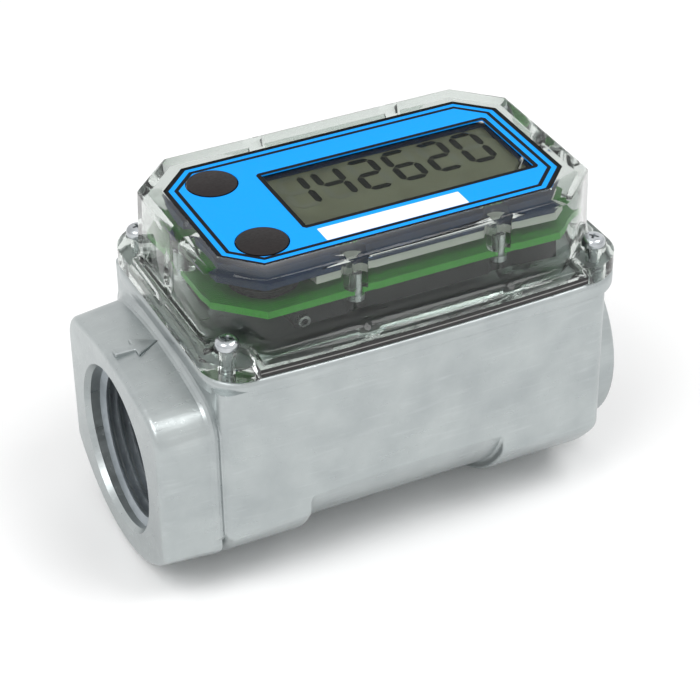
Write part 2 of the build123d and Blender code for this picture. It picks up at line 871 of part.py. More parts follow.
def retaining_ring():
    """Split ring in the groove outside a support."""
    outer_radius = support_bore_radius + ring_groove_depth - fit_clearance
    ring = along_pipe(outer_radius, support_end, support_end + retaining_ring_thickness)
    ring -= along_pipe(
        outer_radius - retaining_ring_width,
        support_end,
        support_end + retaining_ring_thickness,
    )
    half_gap = outer_radius * math.sin(math.radians(retaining_ring_gap_angle / 2))
    gap = block(support_end, support_end + retaining_ring_thickness, half_gap, 0, axis_height)
    return ring - gap


def shaft_half_length():
    """Half the length of the turbine shaft, just short of the pocket ends."""
    return hub_inner_face + bearing_length - shaft_end_clearance


def rotor_shaft():
    """Hard metal shaft pressed into the turbine."""
    return along_pipe(shaft_radius, -shaft_half_length(), shaft_half_length())


def helical_blade(index):
    """One turbine blade, a radial plate that twists as it runs along the pipe."""
    tip_radius = chamber_radius - blade_tip_clearance
    plate_height = tip_radius + blade_tip_clearance / 2
    section = Pos(0, plate_height / 2) * Rectangle(blade_thickness, plate_height)
    start = Plane.YZ.offset(-rotor_half_length)
    first_turn = 360 * index / blade_count - blade_twist / 2
    face = (start * Rot(0, 0, first_turn) * section).faces()[0]
    blade = Solid.extrude_linear_with_rotation(
        face,
        center=(-rotor_half_length, 0, 0),
        normal=(2 * rotor_half_length, 0, 0),
        angle=blade_twist,
    )
    return Pos(0, 0, axis_height) * (Part() + blade)


def magnet_place(side):
    """Where a magnet stands in the hub, between two blades."""
    turn = 180 / blade_count + (0 if side > 0 else 180)
    reach = rotor_hub_radius - magnet_length / 2
    return Pos(0, 0, axis_height) * Rot(turn, 0, 0) * Pos(0, 0, reach)


def turbine_rotor():
    """Hub with helical blades, bored for the shaft and the magnets."""
    tip_radius = chamber_radius - blade_tip_clearance
    wheel = along_pipe(rotor_hub_radius, -rotor_half_length, rotor_half_length)
    for index in range(blade_count):
        wheel += helical_blade(index)
    wheel &= along_pipe(tip_radius, -rotor_half_length, rotor_half_length)
    wheel -= along_pipe(shaft_radius + fit_clearance, -rotor_half_length, rotor_half_length)
    for side in (-1, 1):
        pocket = Pos(0, 0, magnet_length / 2) * Cylinder(magnet_radius + fit_clearance, 2 * magnet_length)
        wheel -= magnet_place(side) * pocket
    return wheel


def rotor_magnet(side):
    """Small round magnet in the turbine hub."""
    return magnet_place(side) * Cylinder(magnet_radius, magnet_length)


os.makedirs("parts", exist_ok=True)

save("meter_housing", meter_housing())
save("cover_seal", cover_seal())
save("clear_cover", clear_cover())
save("face_label", face_label())
save("display_bezel", display_bezel())
save("lcd_glass", lcd_glass())
save("lcd_holder", lcd_holder())
save("circuit_board", circuit_board())
save("controller_chip", controller_chip())
save("crystal_can", crystal_can())
save("board_capacitors", board_capacitors())
save("board_connector", board_connector())
save("battery_holder", battery_holder())
save("battery_contact", battery_contact())
save("coil_bobbin", coil_bobbin())
save("coil_winding", coil_winding())
save("rotor_shaft", rotor_shaft())
save("turbine_rotor", turbine_rotor())

for number, x in enumerate(cell_places, start=1):
    save(f"battery_cell_{number}", battery_cell(x))

for number, side in enumerate((-1, 1), start=1):
    save(f"rotor_magnet_{number}", rotor_magnet(side))

for piece, name in (
    (vane_support(), "support"),
    (support_bearing(), "bearing"),
    (retaining_ring(), "ring"),
):
    save(f"outlet_{name}", piece)
    save(f"inlet_{name}", mirror(piece, Plane.YZ))

for name, place in button_places.items():
    save(f"{name}_button", button_body(place))
    save(f"{name}_boot", pleated_boot(place))
    save(f"{name}_switch", button_switch(place))

for number, place in enumerate(cover_screw_places, start=1):
    save(f"cover_screw_{number}", cover_screw(place))

for number, place in enumerate(board_screw_places, start=1):
    save(f"board_screw_{number}", board_screw(place))
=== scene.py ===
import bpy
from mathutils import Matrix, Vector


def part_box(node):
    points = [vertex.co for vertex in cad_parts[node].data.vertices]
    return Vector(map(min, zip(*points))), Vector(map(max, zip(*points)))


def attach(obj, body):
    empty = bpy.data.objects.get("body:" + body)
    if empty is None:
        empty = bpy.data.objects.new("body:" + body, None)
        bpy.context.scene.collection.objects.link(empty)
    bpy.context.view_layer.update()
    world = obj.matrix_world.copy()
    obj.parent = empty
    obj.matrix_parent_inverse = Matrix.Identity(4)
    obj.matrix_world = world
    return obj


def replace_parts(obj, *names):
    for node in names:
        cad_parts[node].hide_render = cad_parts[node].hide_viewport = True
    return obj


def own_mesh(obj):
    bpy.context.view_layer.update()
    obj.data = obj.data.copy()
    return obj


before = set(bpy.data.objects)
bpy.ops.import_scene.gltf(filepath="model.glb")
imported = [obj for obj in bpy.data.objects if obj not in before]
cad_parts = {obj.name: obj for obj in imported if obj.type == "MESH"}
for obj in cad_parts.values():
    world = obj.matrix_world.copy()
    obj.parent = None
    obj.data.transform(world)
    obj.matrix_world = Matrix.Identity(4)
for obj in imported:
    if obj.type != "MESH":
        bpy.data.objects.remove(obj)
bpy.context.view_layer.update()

import math

import bmesh
import bpy
from mathutils import Matrix, Vector

bpy.ops.object.select_all(action="DESELECT")

# Camera
# The meter is seen from the inlet side and from above, with a long lens. The place is
# in metres in the model's frame and the angles are in degrees.
pipe_axis_height = 0.02305
camera_place = (-0.16229, -0.33801, 0.26679 + pipe_axis_height)
camera_azimuth = -25.71
camera_elevation = 34.65
camera_roll = -0.74
camera_near_limit = 0.01
focal_length_pixels = 2255.4
image_width_pixels = 700
sensor_width = 36.0
camera_data = bpy.data.cameras.new("camera")
camera_data.sensor_width = sensor_width
camera_data.lens = focal_length_pixels / image_width_pixels * sensor_width
camera_data.clip_start = camera_near_limit
camera = bpy.data.objects.new("camera", camera_data)
bpy.context.collection.objects.link(camera)
turn = Matrix.Rotation(math.radians(camera_azimuth), 4, "Z")
turn = turn @ Matrix.Rotation(math.radians(90 - camera_elevation), 4, "X")
turn = turn @ Matrix.Rotation(math.radians(camera_roll), 4, "Z")
camera.matrix_world = Matrix.Translation(camera_place) @ turn
bpy.context.scene.camera = camera


# Meter body
# Die cast aluminium alloy, left as cast: light bluish grey, with fine drag marks along
# the pipe, a few pits and blotches where the melt cooled unevenly.
def linear(code):
    """Turns an sRGB hex colour into the linear values that the shaders take."""
    channels = [int(code[i:i + 2], 16) / 255 for i in (1, 3, 5)]
    bright = [c / 12.92 if c <= 0.04045 else ((c + 0.055) / 1.055) ** 2.4 for c in channels]
    return (*bright, 1.0)


def per_metre(millimetres):
    """How often a pattern of this size repeats in a metre, as texture scales are given."""
    return 1000.0 / millimetres


def add_node(material, kind, settings=None, inputs=None):
    """Adds a shader node, with its settings, socket values and links."""
    tree = material.node_tree
    node = tree.nodes.new(kind)
    for name, value in (settings or {}).items():
        setattr(node, name, value)
    for name, value in (inputs or {}).items():
        if isinstance(value, bpy.types.NodeSocket):
            tree.links.new(value, node.inputs[name])
        else:
            node.inputs[name].default_value = value
    return node


def main_shader(material):
    """The one shader that gives a material its look."""
    return material.node_tree.nodes["Principled BSDF"]


def new_finish(name, colour, roughness, metallic=0.0):
    """A material with one main shader, its plain colour and its gloss."""
    material = bpy.data.materials.new(name)
    material.use_nodes = True
    shader = main_shader(material)
    shader.inputs["Base Color"].default_value = linear(colour)
    shader.inputs["Roughness"].default_value = roughness
    shader.inputs["Metallic"].default_value = metallic
    return material


def plug(material, links):
    """Links outputs of nodes to the named sockets of the main shader."""
    for socket, source in links.items():
        material.node_tree.links.new(source, main_shader(material).inputs[socket])


def dress(material, *names):
    """Gives the solids of the named pieces their finish."""
    for name in names:
        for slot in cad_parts[name].material_slots:
            slot.material = material


def cast_aluminium(name, dark, light, streak, gloss_low, gloss_high):
    """Cast alloy: uneven cooling blotches, drag marks along the pipe and small pits. The
    widths are in millimetres and the reliefs in metres."""
    blotch_width, mark_width, pit_width = 9.0, 0.9, 0.8
    blotch_relief, mark_relief, pit_relief = 0.00013, 0.00002, 0.00003
    metal = new_finish(name, light, gloss_low, 0.85)
    place = add_node(metal, "ShaderNodeTexCoord")
    blotches = add_node(metal, "ShaderNodeTexNoise", None, {
        "Vector": place.outputs["Object"], "Scale": per_metre(blotch_width), "Detail": 5.0})
    along = add_node(metal, "ShaderNodeMapping", None, {
        "Vector": place.outputs["Object"], "Scale": (streak, 1.0, 1.0)})
    marks = add_node(metal, "ShaderNodeTexNoise", None, {
        "Vector": along.outputs["Vector"], "Scale": per_metre(mark_width), "Detail": 4.0})
    pits = add_node(metal, "ShaderNodeTexNoise", None, {
        "Vector": place.outputs["Object"], "Scale": per_metre(pit_width), "Detail": 2.0})
    tone = add_node(metal, "ShaderNodeMapRange", None, {
        "Value": blotches.outputs["Fac"], "From Min": 0.32, "From Max": 0.68})
    base = add_node(metal, "ShaderNodeMix", {"data_type": "RGBA"}, {
        "Factor": tone.outputs["Result"], 6: linear(dark), 7: linear(light)})
    line = add_node(metal, "ShaderNodeMapRange", None, {
        "Value": marks.outputs["Fac"], "From Min": 0.56, "From Max": 0.78, "To Max": 0.14})
    worn = add_node(metal, "ShaderNodeMix", {"data_type": "RGBA"}, {
        "Factor": line.outputs["Result"], 6: base.outputs[2], 7: linear("#DDE3E4")})
    gloss = add_node(metal, "ShaderNodeMapRange", None, {
        "Value": marks.outputs["Fac"], "From Min": 0.3, "From Max": 0.7,
        "To Min": gloss_low, "To Max": gloss_high})
    pitted = add_node(metal, "ShaderNodeMapRange", None, {
        "Value": pits.outputs["Fac"], "From Min": 0.25, "From Max": 0.36})
    skin = add_node(metal, "ShaderNodeBump", None, {
        "Height": blotches.outputs["Fac"], "Distance": blotch_relief})
    drag = add_node(metal, "ShaderNodeBump", None, {
        "Height": marks.outputs["Fac"], "Distance": mark_relief,
        "Normal": skin.outputs["Normal"]})
    holes = add_node(metal, "ShaderNodeBump", None, {
        "Height": pitted.outputs["Result"], "Distance": pit_relief,
        "Normal": drag.outputs["Normal"]})
    plug(metal, {
        "Base Color": worn.outputs[2],
        "Roughness": gloss.outputs["Result"],
        "Normal": holes.outputs["Normal"],
    })
    return metal


body_metal = cast_aluminium("cast_aluminium", "#A3A9AA", "#B1B7B7", 0.1, 0.27, 0.37)
dress(body_metal, "meter_housing")

# Pipe threads
# Tapped into the aluminium at both ends: a coarse V ridge, bright on its crest and dark
# in its root. The ridge is a flat profile wound round the port by a Screw modifier. Its
# metal is painted darker than the body's, as painted shade inside the port.
thread_pitch = 0.002209
thread_turns = 7
thread_root_radius = 0.01680
thread_crest_radius = 0.01510
thread_root_width = 0.94 * thread_pitch
thread_crest_share = 0.14
thread_first_turn = 0.0484
thread_end_reach = 0.6 * thread_pitch
thread_steps = 56
merge_distance = 0.000001


def choose(kind, test):
    """Selects the vertices, edges or faces whose middle passes a test, in edit mode."""
    bpy.ops.mesh.select_mode(type=kind)
    bpy.ops.mesh.select_all(action="DESELECT")
    mesh = bpy.context.object.data
    shape = bmesh.from_edit_mesh(mesh)
    parts = {"VERT": shape.verts, "EDGE": shape.edges, "FACE": shape.faces}[kind]
    for part in parts:
        corners = [part.co] if kind == "VERT" else [corner.co for corner in part.verts]
        part.select_set(bool(test(sum(corners, Vector()) / len(corners))))
    shape.select_flush_mode()
    bmesh.update_edit_mesh(mesh)


def shape_with(kind, **settings):
    """Adds a modifier to the active piece and applies it."""
    modifier = bpy.context.object.modifiers.new(kind.lower(), kind)
    for name, value in settings.items():
        setattr(modifier, name, value)
    bpy.ops.object.modifier_apply(modifier=modifier.name)


def place_in_mesh():
    """Puts the active piece's place, turn and size into its mesh."""
    bpy.ops.object.transform_apply(location=True, rotation=True, scale=True)


def settle(name, finish, body):
    """Names the active piece, dresses it and hangs it on its body."""
    place_in_mesh()
    piece = bpy.context.object
    piece.name = name
    piece.data.name = name
    piece.data.materials.clear()
    piece.data.materials.append(finish)
    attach(piece, body)
    return piece


def smooth(degrees):
    """Shades the active piece smooth, with the edges sharper than this left crisp."""
    bpy.ops.object.shade_smooth_by_angle(angle=math.radians(degrees))


bpy.ops.mesh.primitive_plane_add(size=1.0, rotation=(math.radians(90), 0, 0))
bpy.ops.object.transform_apply(rotation=True)
thread_depth = thread_root_radius - thread_crest_radius
bpy.context.object.scale = (thread_root_width, 1.0, thread_depth)
bpy.context.object.location = (-thread_first_turn, 0.0, thread_crest_radius + thread_depth / 2)
place_in_mesh()
bpy.ops.object.mode_set(mode="EDIT")
choose("EDGE", lambda middle: middle.z < thread_crest_radius + thread_depth / 4)
bpy.ops.transform.resize(
    value=(thread_crest_share, 1.0, 1.0), center_override=(-thread_first_turn, 0.0, 0.0)
)
bpy.ops.object.mode_set(mode="OBJECT")
shape_with(
    "SCREW", axis="X", angle=2 * math.pi, screw_offset=thread_pitch,
    iterations=thread_turns, steps=thread_steps, render_steps=thread_steps,
    use_merge_vertices=False,
)
bpy.ops.object.mode_set(mode="EDIT")
bpy.ops.mesh.select_all(action="SELECT")
bpy.ops.mesh.remove_doubles(threshold=merge_distance)
for end in (-thread_first_turn, -thread_first_turn + thread_turns * thread_pitch):
    choose("EDGE", lambda middle: abs(middle.y) < 0.00001 and middle.z > 0
           and abs(middle.x - end) < thread_end_reach)
    bpy.ops.mesh.edge_face_add()
bpy.ops.mesh.select_all(action="SELECT")
bpy.ops.mesh.normals_make_consistent(inside=False)
bpy.ops.object.mode_set(mode="OBJECT")
bpy.context.object.location = (0.0, 0.0, pipe_axis_height)
place_in_mesh()
smooth(40)
# Painted shade: the tapped alloy is painted darker than the body's, for the shade inside the
# port.
thread_metal_with_painted_shade = cast_aluminium("tapped_aluminium_with_painted_shade", "#8A9196", "#AEB5BA", 1.0, 0.34, 0.48)
settle("inlet_thread", thread_metal_with_painted_shade, "housing")
bpy.ops.object.duplicate()
bpy.ops.transform.rotate(value=math.pi, orient_axis="Z", center_override=(0.0, 0.0, 0.0))
settle("outlet_thread", thread_metal_with_painted_shade, "housing")

# Flow arrow
# Raised on top of the inlet boss in the same casting, to show which way the liquid runs.
# A three-sided head and a short shaft, drawn up from the boss with soft edges.
arrow_tip = -0.0404
arrow_head_radius = 0.0034
arrow_shaft_length = 0.0040
arrow_bottom = 0.0446
arrow_height = 0.00125
arrow_edge = 0.00025
arrow_near = 0.0001
bpy.ops.object.select_all(action="DESELECT")
bpy.ops.mesh.primitive_circle_add(
    vertices=3, radius=arrow_head_radius, fill_type="NGON",
    location=(arrow_tip - arrow_head_radius, 0.0, arrow_bottom),
    rotation=(0, 0, math.radians(-90)),
)
place_in_mesh()
arrow_back = min(corner.co.x for corner in bpy.context.object.data.vertices)
bpy.ops.object.mode_set(mode="EDIT")
choose("EDGE", lambda middle: middle.x < arrow_back + arrow_near)
bpy.ops.mesh.subdivide(number_cuts=2)
choose("EDGE", lambda middle: middle.x < arrow_back + arrow_near
       and abs(middle.y) < 2 * arrow_near)
bpy.ops.mesh.extrude_region_move(TRANSFORM_OT_translate={"value": (-arrow_shaft_length, 0, 0)})
bpy.ops.mesh.select_all(action="SELECT")
bpy.ops.mesh.extrude_region_move(TRANSFORM_OT_translate={"value": (0, 0, arrow_height)})
bpy.ops.mesh.select_all(action="SELECT")
bpy.ops.mesh.normals_make_consistent(inside=False)
bpy.ops.object.mode_set(mode="OBJECT")
shape_with("BEVEL", width=arrow_edge, segments=3, limit_method="ANGLE")
smooth(40)
settle("flow_arrow", body_metal, "housing")


# Turbine and its supports
# A white moulded rotor spins on a ground hard metal shaft, between two grey moulded hubs
# with ceramic bushes. Sprung steel rings hold the hubs in the bore.
def moulded_plastic(name, colour, shade, roughness, grain=0.5):
    """Moulded plastic: a faint drift of colour from its flow, and a fine spark grain.
    The grain is in millimetres and coarser than the real one, so that it shows."""
    drift_width = 7.0
    grain_relief = 0.00002
    plastic = new_finish(name, colour, roughness)
    place = add_node(plastic, "ShaderNodeTexCoord")
    drift = add_node(plastic, "ShaderNodeTexNoise", None, {
        "Vector": place.outputs["Object"], "Scale": per_metre(drift_width), "Detail": 2.0})
    tone = add_node(plastic, "ShaderNodeMapRange", None, {
        "Value": drift.outputs["Fac"], "From Min": 0.35, "From Max": 0.65})
    base = add_node(plastic, "ShaderNodeMix", {"data_type": "RGBA"}, {
        "Factor": tone.outputs["Result"], 6: linear(colour), 7: linear(shade)})
    sparks = add_node(plastic, "ShaderNodeTexNoise", None, {
        "Vector": place.outputs["Object"], "Scale": per_metre(grain), "Detail": 2.0})
    gloss = add_node(plastic, "ShaderNodeMapRange", None, {
        "Value": sparks.outputs["Fac"], "From Min": 0.3, "From Max": 0.7,
        "To Min": 0.85 * roughness, "To Max": min(1.15 * roughness, 1.0)})
    skin = add_node(plastic, "ShaderNodeBump", None, {
        "Height": sparks.outputs["Fac"], "Distance": grain_relief})
    plug(plastic, {
        "Base Color": base.outputs[2],
        "Roughness": gloss.outputs["Result"],
        "Normal": skin.outputs["Normal"],
    })
    return plastic


def worked_metal(name, dark, light, roughness, mark=0.25, stretch=(1.0, 1.0, 1.0)):
    """Turned, drawn or plated metal: fine tool marks and stains, in millimetres."""
    stain_width = 3.0
    mark_relief = 0.00001
    metal = new_finish(name, light, roughness, 1.0)
    place = add_node(metal, "ShaderNodeTexCoord")
    along = add_node(metal, "ShaderNodeMapping", None, {
        "Vector": place.outputs["Object"], "Scale": stretch})
    marks = add_node(metal, "ShaderNodeTexNoise", None, {
        "Vector": along.outputs["Vector"], "Scale": per_metre(mark), "Detail": 3.0})
    stains = add_node(metal, "ShaderNodeTexNoise", None, {
        "Vector": place.outputs["Object"], "Scale": per_metre(stain_width), "Detail": 3.0})
    tone = add_node(metal, "ShaderNodeMapRange", None, {
        "Value": stains.outputs["Fac"], "From Min": 0.35, "From Max": 0.6})
    base = add_node(metal, "ShaderNodeMix", {"data_type": "RGBA"}, {
        "Factor": tone.outputs["Result"], 6: linear(dark), 7: linear(light)})
    gloss = add_node(metal, "ShaderNodeMapRange", None, {
        "Value": marks.outputs["Fac"], "From Min": 0.3, "From Max": 0.7,
        "To Min": 0.8 * roughness, "To Max": 1.3 * roughness})
    skin = add_node(metal, "ShaderNodeBump", None, {
        "Height": marks.outputs["Fac"], "Distance": mark_relief})
    plug(metal, {
        "Base Color": base.outputs[2],
        "Roughness": gloss.outputs["Result"],
        "Normal": skin.outputs["Normal"],
    })
    return metal


dress(moulded_plastic("rotor_acetal", "#DEDED8", "#D2D2CA", 0.4), "turbine_rotor")
support_acetal = moulded_plastic("support_acetal", "#C9C9C1", "#BDBDB4", 0.45)
dress(support_acetal, "inlet_support", "outlet_support")
bush_ceramic = moulded_plastic("bush_ceramic", "#E6E4DC", "#DBD8CE", 0.2)
dress(bush_ceramic, "inlet_bearing", "outlet_bearing")
hard_metal = worked_metal("ground_hard_metal", "#7F8286", "#979A9D", 0.24, 0.2, (1.0, 1.0, 12.0))
dress(hard_metal, "rotor_shaft", "inlet_ring", "outlet_ring")
magnet_plate = worked_metal("magnet_nickel_plate", "#6C6E70", "#85878A", 0.3)
dress(magnet_plate, "rotor_magnet_1", "rotor_magnet_2")

# Pickup coil
# Enamelled copper wire on a black moulded bobbin, in a well of the body over the rotor.
# The wire's turns show as fine level grooves, drawn at 0.4 mm so that they can be seen.
black_moulding = moulded_plastic("black_nylon", "#262628", "#303032", 0.45)
dress(black_moulding, "coil_bobbin")
copper = worked_metal("enamelled_copper", "#9C5524", "#BE7136", 0.3, 0.4, (0.1, 0.1, 1.0))
dress(copper, "coil_winding")


# Case seal
# A flat band of black moulded rubber, squeezed between the clear case and the body. Its
# long sides show a thin pale line. Its top and ends are painted pale grey: painted light
# that stands in for the light the clear case above scatters onto them.
def moulded_rubber(name, colour, bloom, roughness):
    """Matt rubber: a grey bloom in patches and a fine mould grain. Widths are in
    millimetres."""
    bloom_width, grain_width = 4.0, 0.5
    grain_relief = 0.00003
    rubber = new_finish(name, colour, roughness)
    place = add_node(rubber, "ShaderNodeTexCoord")
    patches = add_node(rubber, "ShaderNodeTexNoise", None, {
        "Vector": place.outputs["Object"], "Scale": per_metre(bloom_width), "Detail": 4.0})
    tone = add_node(rubber, "ShaderNodeMapRange", None, {
        "Value": patches.outputs["Fac"], "From Min": 0.4, "From Max": 0.7})
    base = add_node(rubber, "ShaderNodeMix", {"data_type": "RGBA"}, {
        "Factor": tone.outputs["Result"], 6: linear(colour), 7: linear(bloom)})
    grain = add_node(rubber, "ShaderNodeTexNoise", None, {
        "Vector": place.outputs["Object"], "Scale": per_metre(grain_width), "Detail": 2.0})
    gloss = add_node(rubber, "ShaderNodeMapRange", None, {
        "Value": grain.outputs["Fac"], "From Min": 0.3, "From Max": 0.7,
        "To Min": 0.85 * roughness, "To Max": min(1.15 * roughness, 1.0)})
    skin = add_node(rubber, "ShaderNodeBump", None, {
        "Height": grain.outputs["Fac"], "Distance": grain_relief})
    plug(rubber, {
        "Base Color": base.outputs[2],
        "Roughness": gloss.outputs["Result"],
        "Normal": skin.outputs["Normal"],
    })
    return rubber


seal_line_height = 0.0518
seal_line_half_width = 0.00012
seal_slack = 0.00004
seal_rubber = moulded_rubber("seal_rubber", "#1B1A1A", "#2B2A2A", 0.6)
seal_place = add_node(seal_rubber, "ShaderNodeTexCoord")
seal_axes = add_node(seal_rubber, "ShaderNodeSeparateXYZ", None, {
    "Vector": seal_place.outputs["Object"]})
seal_line = add_node(seal_rubber, "ShaderNodeMath", {"operation": "COMPARE"}, {
    0: seal_axes.outputs["Z"], 1: seal_line_height, 2: seal_line_half_width})
seal_base = main_shader(seal_rubber).inputs["Base Color"].links[0].from_socket
seal_lined = add_node(seal_rubber, "ShaderNodeMix", {"data_type": "RGBA"}, {
    "Factor": seal_line.outputs["Value"], 6: seal_base, 7: linear("#8C8C8A")})
# Painted light: all but the long sides get a pale grey in place of the light scattered from the
# clear case above.
seal_faces = add_node(seal_rubber, "ShaderNodeSeparateXYZ", None, {
    "Vector": seal_place.outputs["Normal"]})
seal_turn = add_node(seal_rubber, "ShaderNodeMath", {"operation": "ABSOLUTE"}, {
    0: seal_faces.outputs["Y"]})
seal_long_side = add_node(seal_rubber, "ShaderNodeMapRange", None, {
    "Value": seal_turn.outputs["Value"], "From Min": 0.75, "From Max": 0.95})
seal_tone_painted_light = add_node(seal_rubber, "ShaderNodeMix", {"data_type": "RGBA"}, {
    "Factor": seal_long_side.outputs["Result"], 6: linear("#A3A8A5"), 7: seal_lined.outputs[2]})
plug(seal_rubber, {"Base Color": seal_tone_painted_light.outputs[2]})


def copy_of(node):
    """A merged copy of a CAD piece's mesh, active and in edit mode, all selected."""
    bpy.ops.object.select_all(action="DESELECT")
    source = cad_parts[node]
    copy = bpy.data.objects.new(node, source.data.copy())
    bpy.context.collection.objects.link(copy)
    copy.select_set(True)
    bpy.context.view_layer.objects.active = copy
    bpy.ops.object.mode_set(mode="EDIT")
    bpy.ops.mesh.select_all(action="SELECT")
    bpy.ops.mesh.remove_doubles(threshold=merge_distance)
    bpy.ops.mesh.select_all(action="SELECT")


def even_shading():
    """Rounds the shading of soft edges and keeps the faces between them flat."""
    smooth(30)
    shape_with("WEIGHTED_NORMAL", mode="FACE_AREA", weight=100, keep_sharp=True)


copy_of("cover_seal")
bpy.ops.transform.shrink_fatten(value=-seal_slack, use_even_offset=True)
bpy.ops.object.mode_set(mode="OBJECT")
even_shading()
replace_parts(settle("rubber_seal", seal_rubber, "housing"), "cover_seal")

# Battery box
# A black moulded box under the board holds two bright coin cells, and a tinned spring
# contact stands out at its side.
dress(black_moulding, "battery_holder")
cell_steel = worked_metal("drawn_cell_steel", "#A9ABAC", "#C6C8C9", 0.22, 0.3, (1.0, 1.0, 8.0))
dress(cell_steel, "battery_cell_1", "battery_cell_2")
tinned_metal = worked_metal("tinned_brass", "#A6A8A8", "#C6C8C8", 0.28)
dress(tinned_metal, "battery_contact")

# Circuit board
# Glass fibre laminate, green under its solder mask and brighter where its sawn edge
# shows: partly the paler bare laminate, partly a painted highlight where the edge catches
# the light. Copper tracks about 0.8 mm apart lift the mask a little.
board_top = 0.06135
board_skin = 0.0001
track_pattern_width = 1.6  # in millimetres, for two rows of tracks
track_relief = 0.00004
fibre_width = 0.6  # in millimetres
board_green = new_finish("solder_masked_laminate", "#2F5F2C", 0.3)
board_place = add_node(board_green, "ShaderNodeTexCoord")
board_tracks = add_node(board_green, "ShaderNodeTexBrick", {"offset": 0.37, "squash": 0.6}, {
    "Vector": board_place.outputs["Object"], "Scale": per_metre(track_pattern_width),
    "Mortar Size": 0.04, "Mortar Smooth": 0.3, "Brick Width": 3.1, "Row Height": 0.5,
    "Color1": linear("#1C7A14"), "Color2": linear("#218418"), "Mortar": linear("#3C9A2E")})
board_axes = add_node(board_green, "ShaderNodeSeparateXYZ", None, {
    "Vector": board_place.outputs["Object"]})
board_edge = add_node(board_green, "ShaderNodeMapRange", None, {
    "Value": board_axes.outputs["Z"], "From Min": board_top - board_skin,
    "From Max": board_top - board_skin / 2, "To Min": 1.0, "To Max": 0.0})
board_fibre = add_node(board_green, "ShaderNodeTexNoise", None, {
    "Vector": board_place.outputs["Object"], "Scale": per_metre(fibre_width), "Detail": 3.0})
# The sawn edge's bright green is partly bare laminate and partly a painted highlight.
board_sawn_edge_and_highlight = add_node(board_green, "ShaderNodeMix", {"data_type": "RGBA"}, {
    "Factor": board_fibre.outputs["Fac"], 6: linear("#2FA521"), 7: linear("#4DBA38")})
board_tone = add_node(board_green, "ShaderNodeMix", {"data_type": "RGBA"}, {
    "Factor": board_edge.outputs["Result"], 6: board_tracks.outputs["Color"],
    7: board_sawn_edge_and_highlight.outputs[2]})
board_relief = add_node(board_green, "ShaderNodeBump", None, {
    "Height": board_tracks.outputs["Fac"], "Distance": track_relief})
plug(board_green, {
    "Base Color": board_tone.outputs[2],
    "Normal": board_relief.outputs["Normal"],
})
dress(board_green, "circuit_board")
chip_epoxy = moulded_plastic("chip_epoxy", "#242628", "#2E3032", 0.5, 0.3)
dress(chip_epoxy, "controller_chip", "upper_switch", "lower_switch")
dress(tinned_metal, "crystal_can", "board_capacitors")
dress(moulded_plastic("connector_nylon", "#D6D4CA", "#C8C6BB", 0.45), "board_connector")

# Chip legs
# Tinned gull-wing legs, 1.27 mm apart, soldered to the board on both sides of the chip.
# One leg is drawn out of a small block, then copied along both sides.
chip_low, chip_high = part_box("controller_chip")
chip_middle_x = (chip_low[0] + chip_high[0]) / 2
leg_pitch = 0.00127
leg_count = 6
leg_width = 0.00042
leg_thickness = 0.0002
leg_run = 0.0006
leg_height = 0.0007
leg_edge = 0.00005


def twin(piece):
    """A second piece of the same shape, with a mesh of its own."""
    second = piece.copy()
    second.data = piece.data.copy()
    bpy.context.collection.objects.link(second)
    return second


def join_pieces(pieces):
    """Joins pieces into the first of them and leaves that one active."""
    bpy.ops.object.select_all(action="DESELECT")
    for piece in pieces:
        piece.select_set(True)
    bpy.context.view_layer.objects.active = pieces[0]
    bpy.ops.object.join()


bpy.ops.object.select_all(action="DESELECT")
bpy.ops.mesh.primitive_cube_add(size=1.0, location=(0.0, 0.0, board_top + leg_height))
bpy.context.object.scale = (leg_width, leg_run, leg_thickness)
place_in_mesh()
bpy.ops.object.mode_set(mode="EDIT")
choose("FACE", lambda middle: middle.y > 0.49 * leg_run)
bpy.ops.mesh.extrude_region_move(
    TRANSFORM_OT_translate={"value": (0, leg_run / 2, -leg_height + leg_thickness / 2)}
)
bpy.ops.mesh.extrude_region_move(TRANSFORM_OT_translate={"value": (0, leg_run, 0)})
bpy.ops.object.mode_set(mode="OBJECT")
shape_with("BEVEL", width=leg_edge, segments=2, limit_method="ANGLE")
first_leg = bpy.context.object
legs = [first_leg] + [twin(first_leg) for number in range(2 * leg_count - 1)]
for number, leg in enumerate(legs):
    far_side = number >= leg_count
    leg.location = (
        chip_middle_x + (number % leg_count - (leg_count - 1) / 2) * leg_pitch,
        chip_high[1] + leg_run / 2 if far_side else chip_low[1] - leg_run / 2,
        0.0,
    )
    leg.rotation_euler = (0.0, 0.0, 0.0 if far_side else math.pi)
join_pieces(legs)
settle("chip_legs", tinned_metal, "housing")

# Board screws
# Small pan head screws of bright zinc plated steel, driven from under the board into the
# bosses of the clear case.
bright_zinc = worked_metal("bright_zinc_plated_steel", "#C4C8CA", "#DDE0E1", 0.3, 0.35)
dress(bright_zinc, *[f"board_screw_{number}" for number in range(1, 7)])


# Display
# Grey liquid crystal glass on a white moulded holder, in a dark blue moulded frame that
# the clear case's top closes. The glass has a faint uneven tint from its polariser.
dress(moulded_plastic("holder_white_abs", "#DEDED8", "#D3D3CC", 0.4), "lcd_holder")
dress(moulded_plastic("frame_blue_abs", "#032042", "#062B55", 0.5), "display_bezel")
display_grey = moulded_plastic("polarised_glass", "#7A7966", "#706F5D", 0.4, 3.0)
main_shader(display_grey).inputs["Specular IOR Level"].default_value = 0.05
dress(display_grey, "lcd_glass")

